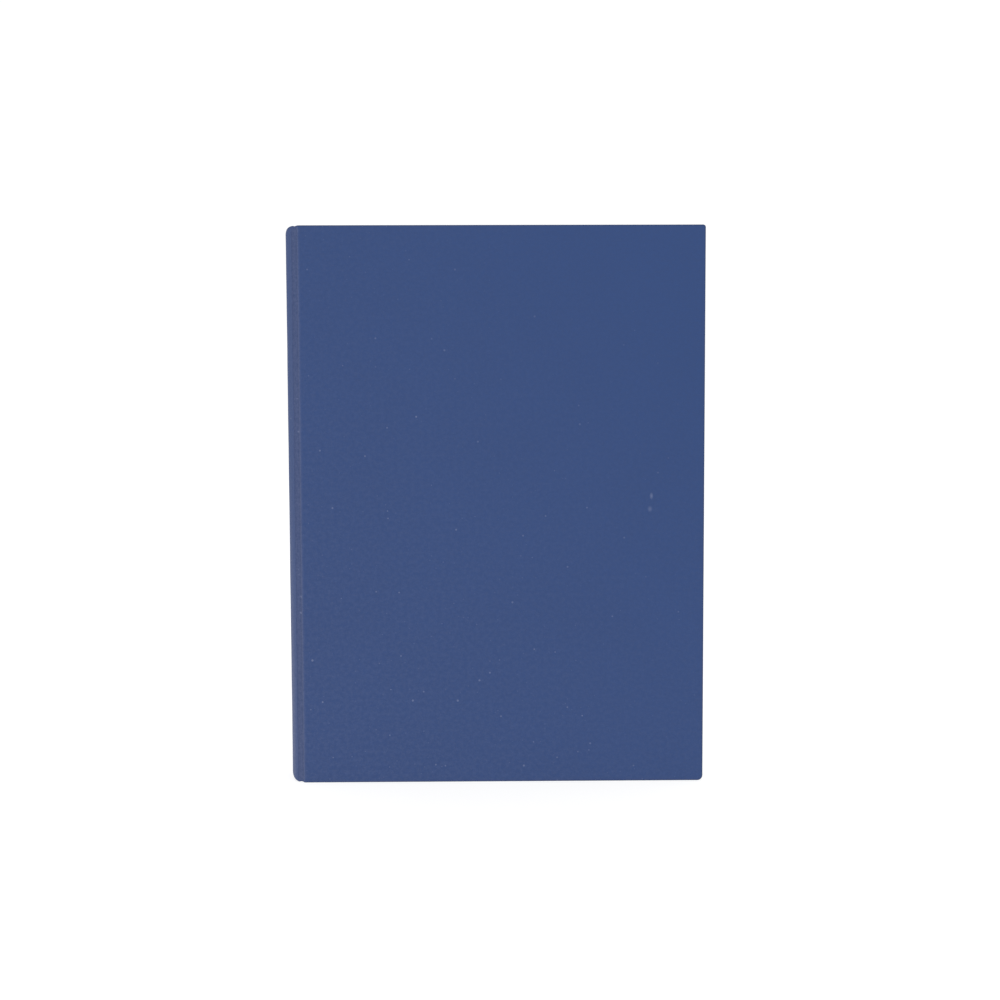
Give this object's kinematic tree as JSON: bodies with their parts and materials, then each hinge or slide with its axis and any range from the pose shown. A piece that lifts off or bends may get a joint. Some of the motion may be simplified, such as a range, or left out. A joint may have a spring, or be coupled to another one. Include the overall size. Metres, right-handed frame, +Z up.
{
  "type": "pilot logbook",
  "caption": "Upright case-bound pilot logbook in plain blue book cloth, closed. Both covers open on cloth joints, and the sewn sections of ruled leaves fan open with them.",
  "frame": {"origin": "centre of the closed book's footprint, on the surface that it stands on", "axes": "+Z up the height of the book, -Y the way the front cover faces, spine on the -X side"},
  "size_m": [0.1566, 0.0204, 0.209],
  "materials": {
    "book_cloth": "blue acrylic-coated book cloth, fine grain, matt",
    "greyboard": "millboard, matt",
    "card": "thin spine card, matt",
    "gauze": "starched open-weave mull",
    "kraft": "kraft lining paper, matt",
    "thread": "waxed linen sewing thread",
    "headband": "woven headband, blue and white",
    "endpaper": "off-white endpaper, matt",
    "page_paper": "cream ledger paper, matt"
  },
  "bodies": {
    "spine_and_backs": {"back_flyleaf_guard": "endpaper", "back_joint_cloth": "book_cloth", "front_flyleaf_guard": "endpaper", "front_joint_cloth": "book_cloth", "headband_head": "headband", "headband_tail": "headband", "mull": "gauze", "section_01_back": "page_paper", "section_02_back": "page_paper", "section_03_back": "page_paper", "section_04_back": "page_paper", "section_05_back": "page_paper", "section_06_back": "page_paper", "section_07_back": "page_paper", "section_08_back": "page_paper", "section_09_back": "page_paper", "section_10_back": "page_paper", "section_11_back": "page_paper", "section_12_back": "page_paper", "sewing_thread": "thread", "spine_cloth": "book_cloth", "spine_inlay": "card", "spine_lining": "kraft"},
    "front_cover": {"front_board": "greyboard", "front_cover_cloth": "book_cloth", "front_mull_flange": "gauze", "front_pastedown": "endpaper"},
    "front_flyleaf_sheet": {"front_flyleaf": "endpaper"},
    "section_01": {"section_01_leaves": "page_paper"},
    "section_02": {"section_02_leaves": "page_paper"},
    "section_03": {"section_03_leaves": "page_paper"},
    "section_04": {"section_04_leaves": "page_paper"},
    "section_05": {"section_05_leaves": "page_paper"},
    "section_06": {"section_06_leaves": "page_paper"},
    "back_cover": {"back_board": "greyboard", "back_cover_cloth": "book_cloth", "back_mull_flange": "gauze", "back_pastedown": "endpaper"},
    "back_flyleaf_sheet": {"back_flyleaf": "endpaper"},
    "section_12": {"section_12_leaves": "page_paper"},
    "section_11": {"section_11_leaves": "page_paper"},
    "section_10": {"section_10_leaves": "page_paper"},
    "section_09": {"section_09_leaves": "page_paper"},
    "section_08": {"section_08_leaves": "page_paper"},
    "section_07": {"section_07_leaves": "page_paper"}
  },
  "joints": [
    {"name": "front_cover_hinge", "type": "hinge", "parent": "spine_and_backs", "child": "front_cover", "pos_m": [-0.07394, -0.00962, 0], "axis": [0, 0, -1], "range_deg": [0, 180]},
    {"name": "front_flyleaf_hinge", "type": "hinge", "parent": "spine_and_backs", "child": "front_flyleaf_sheet", "pos_m": [-0.07079, -0.00715, 0], "axis": [0, 0, -1], "range_deg": [0, 126]},
    {"name": "section_01_hinge", "type": "hinge", "parent": "spine_and_backs", "child": "section_01", "pos_m": [-0.06964, -0.0069, 0], "axis": [0, 0, -1], "range_deg": [0, 90]},
    {"name": "section_02_hinge", "type": "hinge", "parent": "spine_and_backs", "child": "section_02", "pos_m": [-0.06849, -0.00575, 0], "axis": [0, 0, -1], "range_deg": [0, 75.6]},
    {"name": "section_03_hinge", "type": "hinge", "parent": "spine_and_backs", "child": "section_03", "pos_m": [-0.06734, -0.0046, 0], "axis": [0, 0, -1], "range_deg": [0, 61.2]},
    {"name": "section_04_hinge", "type": "hinge", "parent": "spine_and_backs", "child": "section_04", "pos_m": [-0.06619, -0.00345, 0], "axis": [0, 0, -1], "range_deg": [0, 46.8]},
    {"name": "section_05_hinge", "type": "hinge", "parent": "spine_and_backs", "child": "section_05", "pos_m": [-0.06504, -0.0023, 0], "axis": [0, 0, -1], "range_deg": [0, 32.4]},
    {"name": "section_06_hinge", "type": "hinge", "parent": "spine_and_backs", "child": "section_06", "pos_m": [-0.06389, -0.00115, 0], "axis": [0, 0, -1], "range_deg": [0, 18]},
    {"name": "back_cover_hinge", "type": "hinge", "parent": "spine_and_backs", "child": "back_cover", "pos_m": [-0.07394, 0.00962, 0], "axis": [0, 0, 1], "range_deg": [0, 180]},
    {"name": "back_flyleaf_hinge", "type": "hinge", "parent": "spine_and_backs", "child": "back_flyleaf_sheet", "pos_m": [-0.07079, 0.00715, 0], "axis": [0, 0, 1], "range_deg": [0, 126]},
    {"name": "section_12_hinge", "type": "hinge", "parent": "spine_and_backs", "child": "section_12", "pos_m": [-0.06964, 0.0069, 0], "axis": [0, 0, 1], "range_deg": [0, 90]},
    {"name": "section_11_hinge", "type": "hinge", "parent": "spine_and_backs", "child": "section_11", "pos_m": [-0.06849, 0.00575, 0], "axis": [0, 0, 1], "range_deg": [0, 75.6]},
    {"name": "section_10_hinge", "type": "hinge", "parent": "spine_and_backs", "child": "section_10", "pos_m": [-0.06734, 0.0046, 0], "axis": [0, 0, 1], "range_deg": [0, 61.2]},
    {"name": "section_09_hinge", "type": "hinge", "parent": "spine_and_backs", "child": "section_09", "pos_m": [-0.06619, 0.00345, 0], "axis": [0, 0, 1], "range_deg": [0, 46.8]},
    {"name": "section_08_hinge", "type": "hinge", "parent": "spine_and_backs", "child": "section_08", "pos_m": [-0.06504, 0.0023, 0], "axis": [0, 0, 1], "range_deg": [0, 32.4]},
    {"name": "section_07_hinge", "type": "hinge", "parent": "spine_and_backs", "child": "section_07", "pos_m": [-0.06389, 0.00115, 0], "axis": [0, 0, 1], "range_deg": [0, 18]}
  ],
  "couplings": [
    {"joint": "front_flyleaf_hinge", "follows": "front_cover_hinge", "ratio": 0.7},
    {"joint": "section_01_hinge", "follows": "front_cover_hinge", "ratio": 0.5},
    {"joint": "section_02_hinge", "follows": "front_cover_hinge", "ratio": 0.42},
    {"joint": "section_03_hinge", "follows": "front_cover_hinge", "ratio": 0.34},
    {"joint": "section_04_hinge", "follows": "front_cover_hinge", "ratio": 0.26},
    {"joint": "section_05_hinge", "follows": "front_cover_hinge", "ratio": 0.18},
    {"joint": "section_06_hinge", "follows": "front_cover_hinge", "ratio": 0.1},
    {"joint": "back_flyleaf_hinge", "follows": "back_cover_hinge", "ratio": 0.7},
    {"joint": "section_12_hinge", "follows": "back_cover_hinge", "ratio": 0.5},
    {"joint": "section_11_hinge", "follows": "back_cover_hinge", "ratio": 0.42},
    {"joint": "section_10_hinge", "follows": "back_cover_hinge", "ratio": 0.34},
    {"joint": "section_09_hinge", "follows": "back_cover_hinge", "ratio": 0.26},
    {"joint": "section_08_hinge", "follows": "back_cover_hinge", "ratio": 0.18},
    {"joint": "section_07_hinge", "follows": "back_cover_hinge", "ratio": 0.1}
  ]
}
